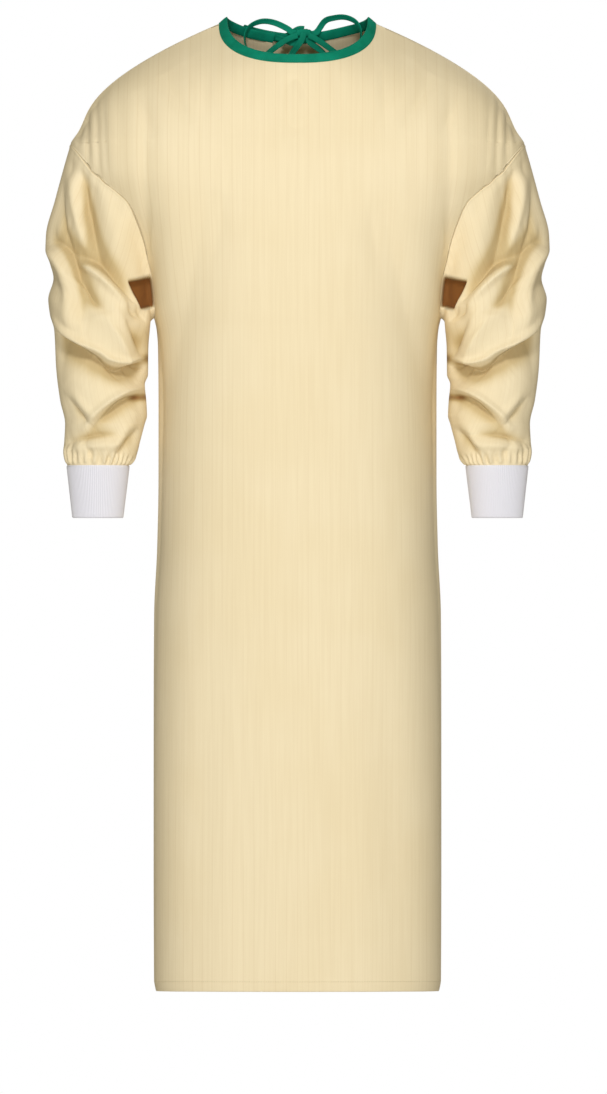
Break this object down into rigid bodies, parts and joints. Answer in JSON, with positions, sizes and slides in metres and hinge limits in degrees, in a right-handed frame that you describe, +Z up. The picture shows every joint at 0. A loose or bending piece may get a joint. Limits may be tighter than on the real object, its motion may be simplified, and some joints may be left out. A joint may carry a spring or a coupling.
{
  "type": "isolation gown",
  "caption": "Long-sleeved cloth isolation gown in its worn shape, with knit cuffs, a bound round neck and a lapped back tied in a bow at the neck.",
  "frame": {"origin": "middle of the neck opening at the height of its two shoulder points, where the wearer's shoulders hold the gown up", "axes": "+Z up, the front faces -Y, +X is the wearer's left"},
  "size_m": [0.6588, 0.2693, 1.2778],
  "materials": {
    "yellow_cloth": "woven cloth with a faint stripe",
    "white_knit": "rib knit",
    "green_binding": "bias tape"
  },
  "bodies": {
    "root": {"front_panel": "yellow_cloth", "back_panel_left": "yellow_cloth", "back_panel_right": "yellow_cloth", "sleeve_left": "yellow_cloth", "sleeve_right": "yellow_cloth", "cuff_left": "white_knit", "cuff_right": "white_knit", "neck_binding": "green_binding", "neck_knot": "green_binding", "bow_loop_left": "green_binding", "bow_loop_right": "green_binding", "tie_end_left": "green_binding", "tie_end_right": "green_binding", "tie_lead_left": "green_binding", "tie_lead_right": "green_binding"}
  },
  "joints": []
}
